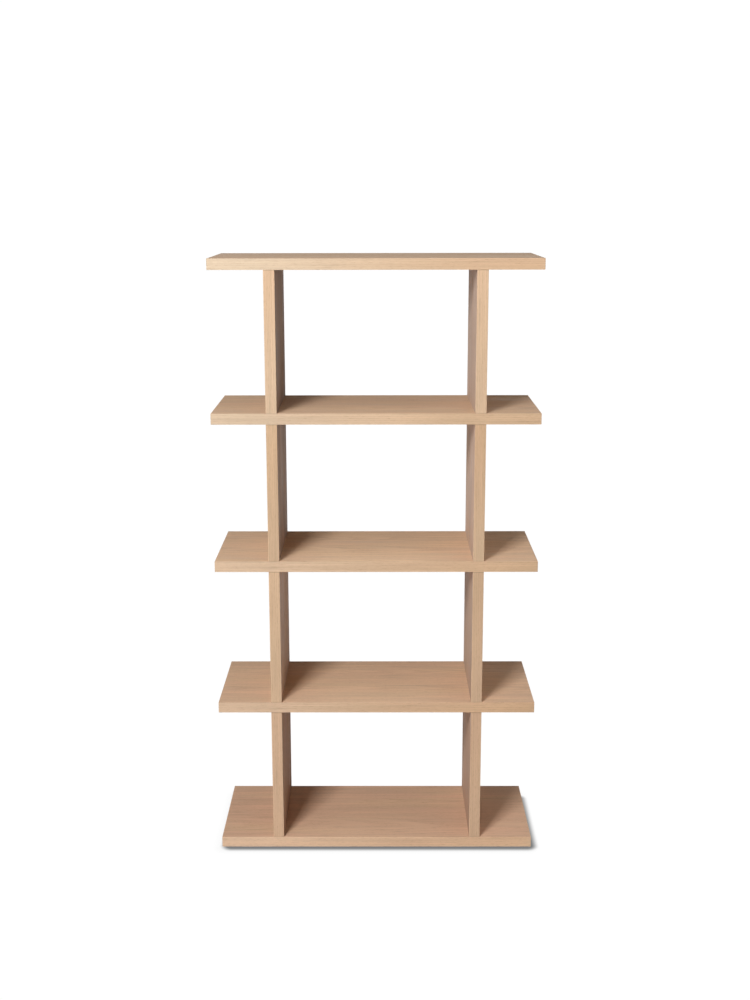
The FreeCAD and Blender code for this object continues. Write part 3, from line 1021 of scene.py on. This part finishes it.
@dataclass(frozen=True)
class FloorShade:
    """A soft-edged rectangle of shade on the floor.

    Attributes:
        low, high: X and Y of two corners of the rectangle that is in full shade.
        start, end: Distances outside the rectangle at which the shade begins to fade and is gone.
        depth: Share of the light that the full shade takes.
    """

    low: tuple[float, float]
    high: tuple[float, float]
    start: float
    end: float
    depth: float

    def clear(self, graph: Graph, place: list[Wire]) -> Wire:
        """Work out how much of the light is left.

        The distance outside is the root of the squared distances, along X and along Y, past the
        rectangle's sides, so the shade has round corners.

        Args:
            graph: The floor's graph.
            place: X, Y and Z of each point of the floor.

        Returns:
            The share of the light that is left at each point.
        """
        squares = []
        for along, low, high in zip(place, self.low, self.high):
            past = graph.maths("MAXIMUM", abs(along - (low + high) / 2) - (high - low) / 2, 0.0)
            squares.append(past * past)
        outside = graph.maths("SQRT", squares[0] + squares[1])
        return 1 - self.depth * (1 - graph.smooth(outside, self.start, self.end))


@dataclass
class Studio:
    """Plain pale floor, white surroundings and soft light.

    The floor and the surroundings are white where they are seen, straight or in a reflection, except in the
    shade close round the base. They light the bookcase at a plain level.

    Attributes:
        floor_reach, floor_steps: Half the floor's width, and the lines of its grid each way.
        floor_level: How much light the floor throws back.
        white_level: Strength of the white that is seen.
        contact, halo: The dark shade close round the base, and the faint one round that.
        fill_level: Strength of the even light from all round.
        key, top, side, back: The lamps; the back one only lifts the rear edges out of the dark.
        camera: The camera.
    """

    floor_reach: float = 6.0
    floor_steps: int = 13
    floor_level: float = 0.8
    white_level: float = 1.02
    contact: FloorShade = FloorShade(
        low=(-0.3755, -0.141),
        high=(0.390, 0.139),
        start=0.0136,
        end=0.0347,
        depth=0.77,
    )
    halo: FloorShade = FloorShade(
        low=(-0.389, -0.152),
        high=(0.389, 0.164),
        start=0.0,
        end=0.053,
        depth=0.086,
    )
    fill_level: float = 0.05
    key: Softbox = Softbox(
        "key_softbox",
        place=(-1.18, -2.80, 2.55),
        aim=(0, 0, 0.75),
        width=0.85,
        height=1.05,
        power=103,
    )
    top: Softbox = Softbox(
        "top_softbox",
        place=(0, -0.6, 3.2),
        aim=(0, 0, 0.75),
        width=2.0,
        height=0.9,
        power=8,
    )
    side: Softbox = Softbox(
        "side_softbox",
        place=(2.7, 0, 1.6),
        aim=(0, 0, 1.2),
        width=0.45,
        height=1.4,
        power=16,
    )
    back: Softbox = Softbox(
        "back_softbox",
        place=(-0.35, 3.2, 0.3),
        aim=(0, 0, 0.75),
        width=0.3,
        height=0.4,
        power=22,
        mirrored=False,
    )
    camera: PhotoCamera = PhotoCamera()

    def build(self) -> None:
        """Set up the floor, the surroundings, the lamps and the camera."""
        self.build_floor()
        self.build_surroundings()
        for lamp in (self.key, self.top, self.side, self.back):
            lamp.build()
        self.camera.build()
        bpy.context.scene.view_settings.view_transform = "Standard"

    def build_floor(self) -> None:
        """A flat square grid: x and y are the two parameters and the height is nought all over."""
        line = np.linspace(-self.floor_reach, self.floor_reach, self.floor_steps)
        x, y = np.meshgrid(line, line)
        points = np.stack([x, y, np.zeros_like(x)], -1).reshape(-1, 3)
        index = np.arange(points.shape[0]).reshape(x.shape)
        corners = (index[:-1, :-1], index[:-1, 1:], index[1:, 1:], index[1:, :-1])
        quads = np.stack(corners, -1).reshape(-1, 4)
        mesh = bpy.data.meshes.new("floor")
        mesh.from_pydata(points.tolist(), [], quads.tolist())
        mesh.materials.append(self.floor_material())
        floor = bpy.data.objects.new("floor", mesh)
        bpy.context.scene.collection.objects.link(floor)
        LOG.info("floor")

    @staticmethod
    def is_seen(graph: Graph) -> Wire:
        """Tell what is seen from what only lights.

        Args:
            graph: The graph of the floor or the surroundings.

        Returns:
            One for rays from the camera or from a reflection or glass, and zero for the light itself.
        """
        camera = graph.add("ShaderNodeLightPath", None, None, "Is Camera Ray")
        mirrored = graph.maths("MAXIMUM", camera.also("Is Glossy Ray"), camera.also("Is Transmission Ray"))
        return graph.maths("MAXIMUM", camera, mirrored)

    def floor_material(self) -> bpy.types.Material:
        """Make the floor's finish.

        The floor is pale and matt for the light. Where it is seen it is plain white, less the shade.

        Returns:
            The material.
        """
        material, graph = new_material("pale_floor")
        place = graph.parts(graph.place())
        seen = self.is_seen(graph)
        matt = self.floor_level * (1 - seen)
        shown = seen * self.contact.clear(graph, place) * self.halo.clear(graph, place)
        graph.surface({
            "Base Color": graph.vector(matt, matt, matt),
            "Roughness": 1.0,
            "Specular IOR Level": 0.0,
            "Emission Color": graph.vector(shown, shown, shown),
            "Emission Strength": self.white_level,
        })
        return material

    def build_surroundings(self) -> None:
        """White where it is seen, and otherwise an even fill light."""
        world = bpy.data.worlds.new("studio")
        bpy.context.scene.world = world
        world.use_nodes = True
        graph = Graph(world.node_tree)
        fill, white = (
            graph.add("ShaderNodeBackground", None, {"Strength": level, "Color": WHITE})
            for level in (self.fill_level, self.white_level)
        )
        both = graph.add("ShaderNodeMixShader", None, {0: self.is_seen(graph), 1: fill, 2: white})
        graph.close(both, "ShaderNodeOutputWorld")


def main() -> None:
    """Dress the bookcase, piece by piece, and set up the studio round it."""
    logging.basicConfig(level=logging.INFO, format="%(name)s: %(message)s")
    for part in (Shelves(), Uprights(), Fasteners(), Studio()):
        part.build()


if __name__ == "__main__":
    main()
